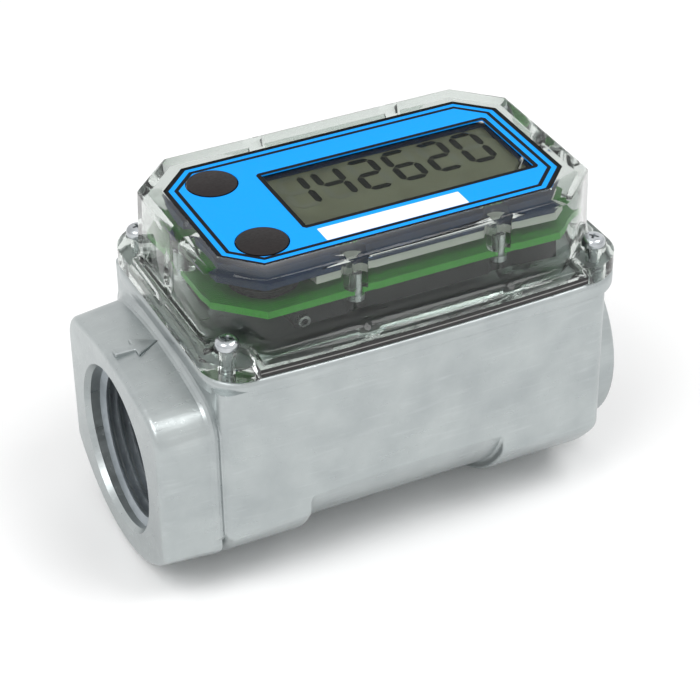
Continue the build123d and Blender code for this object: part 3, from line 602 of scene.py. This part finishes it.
# Display digits
# Seven-bar digits that the liquid crystal darkens, lying on the glass, with the unlit
# bars just seen. One bar is drawn from a six-sided plate and copied to each place.
digits_shown = "142620"
glass_top = 0.06745
digit_pitch = 0.00765
first_digit_x = -0.0083
digit_middle_y = 0.0039
bar_width = 0.00145
bar_gap = 0.00012
digit_half_width = 0.00236
digit_half_height = 0.0053
bar_thickness = 0.00003
bars_of_digit = {
    "0": "abcdef", "1": "bc", "2": "abdeg", "3": "abcdg", "4": "bcfg",
    "5": "acdfg", "6": "acdefg", "7": "abc", "8": "abcdefg", "9": "abcdfg",
}
bar_places = {
    "a": (0, 1, True), "b": (1, 0.5, False), "c": (1, -0.5, False), "d": (0, -1, True),
    "e": (-1, -0.5, False), "f": (-1, 0.5, False), "g": (0, 0, True),
}


def digit_bar(length):
    """One bar along X at the origin: a six-sided plate with pointed ends."""
    side_x, side_y = 0.5, math.sqrt(0.75)
    bpy.ops.mesh.primitive_circle_add(vertices=6, radius=1.0, fill_type="NGON")
    bpy.ops.object.mode_set(mode="EDIT")
    bpy.ops.mesh.select_all(action="SELECT")
    bpy.ops.transform.rotate(value=math.radians(30), orient_axis="Z", center_override=(0, 0, 0))
    choose("VERT", lambda corner: abs(corner.x) > 0.9)
    bpy.ops.transform.resize(value=(length / 2, 1, 1), center_override=(0, 0, 0))
    choose("VERT", lambda corner: abs(corner.y) > 0.5)
    bpy.ops.transform.resize(
        value=((length - bar_width) / 2 / side_x, bar_width / 2 / side_y, 1),
        center_override=(0, 0, 0),
    )
    bpy.ops.mesh.select_all(action="SELECT")
    bpy.ops.mesh.extrude_region_move(TRANSFORM_OT_translate={"value": (0, 0, bar_thickness)})
    bpy.ops.mesh.select_all(action="SELECT")
    bpy.ops.mesh.normals_make_consistent(inside=False)
    bpy.ops.object.mode_set(mode="OBJECT")
    return bpy.context.object


bpy.ops.object.select_all(action="DESELECT")
level_bar = digit_bar(2 * digit_half_width - 2 * bar_gap)
bpy.ops.object.select_all(action="DESELECT")
upright_bar = digit_bar(digit_half_height - 2 * bar_gap)
shown_bars = []
unlit_bars = []
for number, digit in enumerate(digits_shown):
    for bar, (across, up, level) in bar_places.items():
        placed = twin(level_bar if level else upright_bar)
        placed.location = (
            first_digit_x + number * digit_pitch + across * digit_half_width,
            digit_middle_y + up * digit_half_height,
            glass_top,
        )
        placed.rotation_euler = (0.0, 0.0, 0.0 if level else math.radians(90))
        (shown_bars if bar in bars_of_digit[digit] else unlit_bars).append(placed)
bpy.data.objects.remove(level_bar)
bpy.data.objects.remove(upright_bar)
join_pieces(shown_bars)
crystal_dark = moulded_plastic("darkened_crystal", "#0A0B0A", "#121311", 0.5, 3.0)
main_shader(crystal_dark).inputs["Specular IOR Level"].default_value = 0.02
settle("display_digits", crystal_dark, "housing")
join_pieces(unlit_bars)
crystal_unlit = moulded_plastic("unlit_crystal", "#6A6958", "#636252", 0.42, 3.0)
settle("display_unlit_bars", crystal_unlit, "housing")

# Clear case
# One injection moulding of clear, grey-green plastic, with a window polished so fine that
# it hardly mirrors. A thin air film is left where it rests on body, board and display.
case_contacts = (0.05095, 0.06135, 0.06785)
case_slack = 0.00005
window_plane_heights = (0.0679, 0.06925)
level_tolerance = 0.000005


def clear_moulding(name, refraction, mirror, coat):
    """Polished clear plastic: a grey-green tint that drifts along the mould's ripple. Its
    width is in millimetres."""
    ripple_width = 11.0
    ripple_relief = 0.0001
    clear = new_finish(name, "#D8DED9", 0.03)
    shader = main_shader(clear)
    shader.inputs["Transmission Weight"].default_value = 1.0
    shader.inputs["IOR"].default_value = refraction
    shader.inputs["Specular IOR Level"].default_value = mirror
    shader.inputs["Coat Weight"].default_value = coat
    shader.inputs["Coat Roughness"].default_value = 0.02
    place = add_node(clear, "ShaderNodeTexCoord")
    ripple = add_node(clear, "ShaderNodeTexNoise", None, {
        "Vector": place.outputs["Object"], "Scale": per_metre(ripple_width), "Detail": 1.0})
    skin = add_node(clear, "ShaderNodeBump", None, {
        "Height": ripple.outputs["Fac"], "Distance": ripple_relief})
    tone = add_node(clear, "ShaderNodeMix", {"data_type": "RGBA"}, {
        "Factor": ripple.outputs["Fac"], 6: linear("#CFD5D1"), 7: linear("#DAE0DC")})
    plug(clear, {"Normal": skin.outputs["Normal"], "Base Color": tone.outputs[2]})
    return clear


copy_of("clear_cover")
for level in case_contacts:
    choose("VERT", lambda corner: abs(corner.z - level) < level_tolerance)
    bpy.ops.transform.translate(value=(0.0, 0.0, case_slack))
bpy.ops.object.mode_set(mode="OBJECT")
even_shading()
case_clear = clear_moulding("clear_polycarbonate", 1.2, 0.5, 0.4)
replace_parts(settle("case_moulding", case_clear, "housing"), "clear_cover")
bpy.context.object.data.materials.append(
    clear_moulding("clear_polycarbonate_window", 1.12, 0.1, 0.0)
)
bpy.context.object.active_material_index = 1
bpy.ops.object.mode_set(mode="EDIT")
choose("FACE", lambda middle: any(
    abs(middle.z - height) < level_tolerance for height in window_plane_heights))
bpy.ops.object.material_slot_assign()
bpy.ops.object.mode_set(mode="OBJECT")

# Case screws
# Zinc plated pan head screws with a cross recess, one in each corner lug. The shank's
# thread is rolled and shows through the lug. One screw is made and copied to each lug.
screw_zinc = worked_metal("zinc_plated_steel", "#A3A7AA", "#C7CBCE", 0.2, 0.35)
screw_places = {}
for number in range(1, 5):
    low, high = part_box(f"cover_screw_{number}")
    screw_places[number] = ((low[0] + high[0]) / 2, (low[1] + high[1]) / 2, low[2], high[2])
screw_bottom, screw_top = screw_places[1][2:]
screw_head_height = 0.0018
screw_head_radius = 0.00234
screw_head_rounding = 0.0011
screw_core_radius = 0.00098
screw_thread_radius = 0.00124
screw_thread_pitch = 0.0008
recess_length = 0.0029
recess_width = 0.0006
recess_depth = 0.0011
recess_taper = (0.4, 0.6, 1.0)
recess_turn = 20
shank_end_rounding = 0.0004
ridge_width = 0.38 * screw_thread_pitch
ridge_start = 1.2 * screw_thread_pitch
ridge_margin = 1.6 * screw_thread_pitch
ridge_steps = 24
screw_turn = 37
shank_length = screw_top - screw_bottom - screw_head_height
bpy.ops.object.select_all(action="DESELECT")
bpy.ops.mesh.primitive_cylinder_add(
    vertices=48, radius=screw_head_radius, depth=screw_head_height,
    location=(0.0, 0.0, -screw_head_height / 2),
)
place_in_mesh()
bpy.ops.object.mode_set(mode="EDIT")
choose("FACE", lambda middle: middle.z > -0.00001)
bpy.ops.mesh.bevel(offset=screw_head_rounding, segments=6, affect="EDGES")
bpy.ops.object.mode_set(mode="OBJECT")
screw_head = bpy.context.object
blades = []
for angle in (0, 90):
    bpy.ops.mesh.primitive_cube_add(size=1.0)
    bpy.context.object.scale = (recess_length, recess_width, 2 * recess_depth)
    place_in_mesh()
    bpy.ops.object.mode_set(mode="EDIT")
    choose("FACE", lambda middle: middle.z < -0.9 * recess_depth)
    bpy.ops.transform.resize(value=recess_taper, center_override=(0.0, 0.0, 0.0))
    bpy.ops.object.mode_set(mode="OBJECT")
    bpy.context.object.rotation_euler = (0.0, 0.0, math.radians(angle + recess_turn))
    place_in_mesh()
    blades.append(bpy.context.object)
for blade in blades:
    bpy.ops.object.select_all(action="DESELECT")
    screw_head.select_set(True)
    bpy.context.view_layer.objects.active = screw_head
    shape_with("BOOLEAN", operation="DIFFERENCE", solver="EXACT", object=blade)
    bpy.data.objects.remove(blade)
bpy.ops.object.select_all(action="DESELECT")
bpy.ops.mesh.primitive_cylinder_add(
    vertices=32, radius=screw_core_radius, depth=shank_length,
    location=(0.0, 0.0, -screw_head_height - shank_length / 2),
)
place_in_mesh()
bpy.ops.object.mode_set(mode="EDIT")
choose("FACE", lambda middle: middle.z < -screw_head_height - 0.99 * shank_length)
bpy.ops.mesh.bevel(offset=shank_end_rounding, segments=2, affect="EDGES")
bpy.ops.object.mode_set(mode="OBJECT")
screw_shank = bpy.context.object
bpy.ops.mesh.primitive_circle_add(vertices=3, radius=1.0, fill_type="NGON")
place_in_mesh()
bpy.ops.object.mode_set(mode="EDIT")
bpy.ops.mesh.select_all(action="SELECT")
bpy.ops.transform.rotate(value=math.radians(90), orient_axis="X", center_override=(0, 0, 0))
bpy.ops.transform.rotate(value=math.radians(90), orient_axis="Y", center_override=(0, 0, 0))
ridge_depth = screw_thread_radius - screw_core_radius
triangle_reach = 1.5
bpy.ops.transform.resize(
    value=(ridge_depth / triangle_reach, 1.0, ridge_width), center_override=(0, 0, 0)
)
bpy.ops.object.mode_set(mode="OBJECT")
outermost = max(corner.co.x for corner in bpy.context.object.data.vertices)
bpy.context.object.location = (
    screw_thread_radius - outermost, 0.0, screw_bottom - screw_top + ridge_start
)
place_in_mesh()
ridge_turns = int((shank_length - ridge_margin) / screw_thread_pitch)
shape_with(
    "SCREW", axis="Z", angle=2 * math.pi, screw_offset=screw_thread_pitch,
    iterations=ridge_turns, steps=ridge_steps, render_steps=ridge_steps,
    use_merge_vertices=False,
)
screw_ridge = bpy.context.object
join_pieces([screw_head, screw_shank, screw_ridge])
bpy.ops.object.mode_set(mode="EDIT")
bpy.ops.mesh.select_all(action="SELECT")
bpy.ops.mesh.remove_doubles(threshold=2 * merge_distance)
bpy.ops.mesh.select_all(action="SELECT")
bpy.ops.mesh.normals_make_consistent(inside=False)
bpy.ops.object.mode_set(mode="OBJECT")
smooth(35)
first_screw = bpy.context.object
for number, (x, y, _, high_z) in screw_places.items():
    bpy.ops.object.select_all(action="DESELECT")
    screw = twin(first_screw)
    screw.select_set(True)
    bpy.context.view_layer.objects.active = screw
    screw.rotation_euler = (0.0, 0.0, math.radians(screw_turn * number))
    screw.location = (x, y, high_z)
    settle(f"case_screw_{number}", screw_zinc, "housing")
    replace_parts(screw, f"cover_screw_{number}")
bpy.data.objects.remove(first_screw)


# Face label
# Blue printed film in the bed of the case's top, with a black edge, a thin black line
# inside it, a black border round the window and a bare white strip.
def printed_film(name, colour, shade, roughness):
    """Screen-printed matt film: almost even ink, with a faint orange peel. Its width is in
    millimetres."""
    peel_width = 1.0
    peel_relief = 0.00001
    film = new_finish(name, colour, roughness)
    main_shader(film).inputs["Specular IOR Level"].default_value = 0.1
    place = add_node(film, "ShaderNodeTexCoord")
    peel = add_node(film, "ShaderNodeTexNoise", None, {
        "Vector": place.outputs["Object"], "Scale": per_metre(peel_width), "Detail": 2.0})
    base = add_node(film, "ShaderNodeMix", {"data_type": "RGBA"}, {
        "Factor": peel.outputs["Fac"], 6: linear(colour), 7: linear(shade)})
    gloss = add_node(film, "ShaderNodeMapRange", None, {
        "Value": peel.outputs["Fac"], "From Min": 0.3, "From Max": 0.7,
        "To Min": 0.9 * roughness, "To Max": 1.1 * roughness})
    skin = add_node(film, "ShaderNodeBump", None, {
        "Height": peel.outputs["Fac"], "Distance": peel_relief})
    plug(film, {
        "Base Color": base.outputs[2],
        "Roughness": gloss.outputs["Result"],
        "Normal": skin.outputs["Normal"],
    })
    return film


label_low, label_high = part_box("face_label")
label_middle = ((label_low[0] + label_high[0]) / 2, (label_low[1] + label_high[1]) / 2)
label_size = (label_high[0] - label_low[0], label_high[1] - label_low[1])
label_corner_cut = 0.0065
label_top = label_high[2]
ink_thickness = 0.00002
window_low_x, window_high_x, window_half_width = -0.01325, 0.03559, 0.01033
window_corner_cut = 0.0006
label_blue = printed_film("blue_label_ink", "#0799FA", "#0E9DFC", 0.5)
label_black = printed_film("black_label_ink", "#020203", "#050607", 0.5)
label_white = printed_film("white_label_ink", "#F4F4F2", "#EDEDEA", 0.5)
dress(label_blue, "face_label")


def printed_frame(name, middle, size, corner_cut, line_width):
    """Prints a line frame: an eight-sided plate of ink, inset and opened."""
    bpy.ops.object.select_all(action="DESELECT")
    bpy.ops.mesh.primitive_plane_add(size=1.0, location=(*middle, label_top))
    bpy.context.object.scale = (*size, 1.0)
    bpy.ops.object.transform_apply(scale=True)
    bpy.ops.object.mode_set(mode="EDIT")
    bpy.ops.mesh.select_all(action="SELECT")
    bpy.ops.mesh.bevel(offset=corner_cut, affect="VERTICES", segments=1)
    bpy.ops.mesh.select_all(action="SELECT")
    bpy.ops.mesh.inset(thickness=line_width, depth=0.0)
    bpy.ops.mesh.delete(type="FACE")
    bpy.ops.object.mode_set(mode="OBJECT")
    shape_with("SOLIDIFY", thickness=ink_thickness, offset=1.0)
    settle(name, label_black, "housing")


outer_line = 0.0010
inner_line = 0.0008
inner_line_inset = 0.0020
corner_shrink = 0.59 * inner_line_inset
window_line = 0.0009
printed_frame("label_edge_line", label_middle, label_size, label_corner_cut, outer_line)
printed_frame(
    "label_inner_line", label_middle, [side - 2 * inner_line_inset for side in label_size],
    label_corner_cut - corner_shrink, inner_line,
)
printed_frame(
    "window_line", ((window_low_x + window_high_x) / 2, 0.0),
    (window_high_x - window_low_x + 2 * window_line, 2 * (window_half_width + window_line)),
    window_corner_cut, window_line,
)
strip_low, strip_high = (-0.01204, -0.01690), (0.01779, -0.01242)
strip_corner = 0.0002
bpy.ops.object.select_all(action="DESELECT")
bpy.ops.mesh.primitive_plane_add(size=1.0, location=(
    (strip_low[0] + strip_high[0]) / 2, (strip_low[1] + strip_high[1]) / 2, label_top))
bpy.context.object.scale = (strip_high[0] - strip_low[0], strip_high[1] - strip_low[1], 1.0)
bpy.ops.object.transform_apply(scale=True)
bpy.ops.object.mode_set(mode="EDIT")
bpy.ops.mesh.select_all(action="SELECT")
bpy.ops.mesh.bevel(offset=strip_corner, affect="VERTICES", segments=3)
bpy.ops.object.mode_set(mode="OBJECT")
shape_with("SOLIDIFY", thickness=ink_thickness, offset=1.0)
settle("label_strip", label_white, "housing")

# Push buttons
# Dark brown moulded caps, slightly domed, with a soft sheen. They stand on black pleated
# rubber boots with a grey bloom.
button_brown = moulded_plastic("button_brown_abs", "#0F0A0A", "#171010", 0.4, 0.6)
main_shader(button_brown).inputs["Specular IOR Level"].default_value = 0.2
dress(button_brown, "upper_button", "lower_button")
boot_rubber = moulded_rubber("boot_rubber", "#1D1C1D", "#2A292A", 0.55)
for side in ("upper", "lower"):
    copy_of(f"{side}_boot")
    bpy.ops.object.mode_set(mode="OBJECT")
    even_shading()
    boot = settle(f"{side}_pleated_boot", boot_rubber, "housing")
    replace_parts(boot, f"{side}_boot")
    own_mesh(boot)

# Studio
# A pale floor, a white surround that lights less than it shows, and two large soft lamps,
# high on the inlet side and in front on the outlet side.
floor_size = 6.0
floor_patch_width = 400.0  # in millimetres
surround_light = 0.7
lamp_aim = (0, 0, 0.03)
bpy.ops.object.select_all(action="DESELECT")
bpy.ops.mesh.primitive_plane_add(size=floor_size)
floor = bpy.context.object
floor.name = "floor"
floor_paint = new_finish("floor_white", "#FAFAFA", 0.9)
floor_place = add_node(floor_paint, "ShaderNodeTexCoord")
floor_shade = add_node(floor_paint, "ShaderNodeTexNoise", None, {
    "Vector": floor_place.outputs["Object"], "Scale": per_metre(floor_patch_width)})
floor_tone = add_node(floor_paint, "ShaderNodeMix", {"data_type": "RGBA"}, {
    "Factor": floor_shade.outputs["Fac"], 6: linear("#FCFCFC"), 7: linear("#F7F7F7")})
plug(floor_paint, {"Base Color": floor_tone.outputs[2]})
floor.data.materials.append(floor_paint)

studio = bpy.data.worlds.new("studio")
bpy.context.scene.world = studio
studio.use_nodes = True
studio.node_tree.nodes.clear()
sight = add_node(studio, "ShaderNodeLightPath")
mirrored = add_node(studio, "ShaderNodeMath", {"operation": "MAXIMUM"}, {
    0: sight.outputs["Is Camera Ray"], 1: sight.outputs["Is Glossy Ray"]})
shown = add_node(studio, "ShaderNodeMath", {"operation": "MAXIMUM"}, {
    0: mirrored.outputs["Value"], 1: sight.outputs["Is Transmission Ray"]})
lighting = add_node(studio, "ShaderNodeBackground", None, {
    "Color": linear("#FFFFFF"), "Strength": surround_light})
seen = add_node(studio, "ShaderNodeBackground", None, {
    "Color": linear("#FFFFFF"), "Strength": 1.0})
either = add_node(studio, "ShaderNodeMixShader", None, {
    0: shown.outputs["Value"], 1: lighting.outputs["Background"], 2: seen.outputs["Background"]})
add_node(studio, "ShaderNodeOutputWorld", None, {"Surface": either.outputs["Shader"]})


def soft_lamp(name, place, size, power):
    """A square soft lamp at a place, turned to face the meter."""
    data = bpy.data.lights.new(name, "AREA")
    data.size = size
    data.energy = power
    lamp = bpy.data.objects.new(name, data)
    bpy.context.collection.objects.link(lamp)
    lamp.location = place
    lamp.rotation_euler = (Vector(lamp_aim) - Vector(place)).to_track_quat("-Z", "Y").to_euler()


soft_lamp("key", (-0.5, -0.2, 0.75), size=0.5, power=3.0)
soft_lamp("side_key", (0.33, -0.32, 0.80), size=0.42, power=3.0)

bpy.context.scene.view_settings.view_transform = "Standard"
